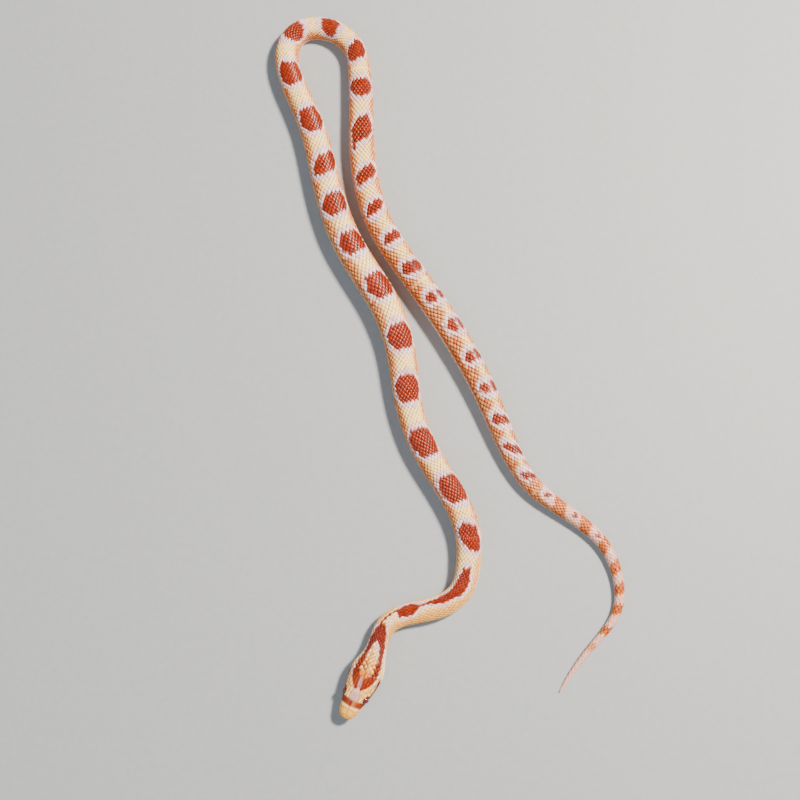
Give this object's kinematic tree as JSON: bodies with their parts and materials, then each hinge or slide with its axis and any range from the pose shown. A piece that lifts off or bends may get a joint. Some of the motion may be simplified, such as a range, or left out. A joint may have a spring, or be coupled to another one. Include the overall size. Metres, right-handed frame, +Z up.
{
  "type": "corn snake",
  "caption": "Life-size still corn snake, amelanistic orange and cream, lying on its belly in a long hairpin curve with its tapered tail to one side",
  "frame": {"origin": "the centre of the animal's bounding box in plan, on the plane that its belly rests on", "axes": "+Z is up from the ground; +Y runs along the animal's long lay from the head end to the hairpin bend; +X completes a right-handed frame, towards the tail"},
  "size_m": [0.1288, 0.2646, 0.01],
  "materials": {
    "head_scales": "smooth, satin head shields, orange and cream",
    "jaw_scales": "smooth, satin cream lip and chin shields",
    "eye": "wet, glossy dark red eye under its clear spectacle",
    "body_scales": "satin scales, orange with red-orange saddles and a cream belly",
    "tail_scales": "satin scales, orange and pinkish white bands"
  },
  "bodies": {
    "root": {"head": "head_scales", "lower_jaw": "jaw_scales", "eye_left": "eye", "eye_right": "eye", "neck": "body_scales", "throat_bend": "body_scales", "torso_front_bend": "body_scales", "torso_front": "body_scales", "torso_fore_middle": "body_scales", "torso_middle": "body_scales", "torso_rear_middle": "body_scales", "torso_loop_first": "body_scales", "torso_loop_second": "body_scales", "torso_after_loop": "body_scales", "torso_hind_middle": "body_scales", "torso_hind": "body_scales", "torso_vent": "body_scales", "tail_base": "tail_scales", "tail_middle": "tail_scales", "tail_tip": "tail_scales"}
  },
  "joints": []
}
